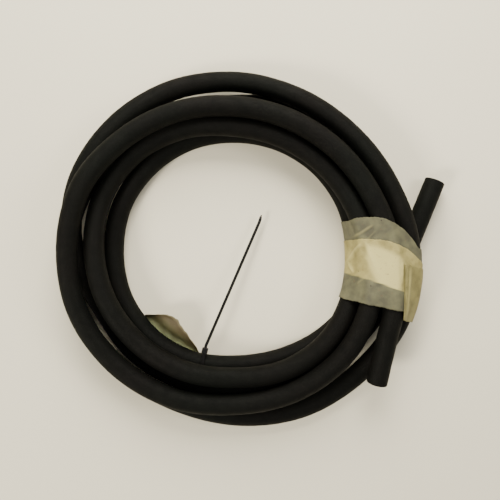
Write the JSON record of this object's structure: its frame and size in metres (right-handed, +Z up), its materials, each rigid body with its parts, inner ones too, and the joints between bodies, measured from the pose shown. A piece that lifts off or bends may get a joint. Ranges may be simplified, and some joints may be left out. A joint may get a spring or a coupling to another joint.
{
  "type": "soaker hose",
  "caption": "Porous black rubber hose laid in a flat five-turn coil, bound by masking tape on one side and by a cable tie on its inner turn, with both ends cut square and open.",
  "frame": {"origin": "middle of the whole object's box, on the ground it lies on", "axes": "+Z up out of the flat coil, +X towards the masking tape, +Y towards the side that the tie's tail points to"},
  "size_m": [0.3332, 0.3018, 0.0535],
  "materials": {
    "hose_rubber": "matt",
    "masking_tape": "matt",
    "tie_nylon": "satin"
  },
  "bodies": {
    "coil": {"hose_coil": "hose_rubber", "hose_end_lower": "hose_rubber", "hose_end_upper": "hose_rubber", "tape_first_winding": "masking_tape", "tape_second_winding": "masking_tape", "tape_tail": "masking_tape", "tape_scrap": "masking_tape", "tie_strap": "tie_nylon", "tie_head": "tie_nylon"},
    "pawl": {"tie_pawl": "tie_nylon"}
  },
  "joints": [
    {"name": "pawl_release", "type": "hinge", "parent": "coil", "child": "pawl", "pos_m": [-0.03829, -0.08579, 0.01702], "axis": [-0.977, 0.2131, 0], "range_deg": [0, 10], "stiffness_Nm_per_rad": 0.0005}
  ]
}
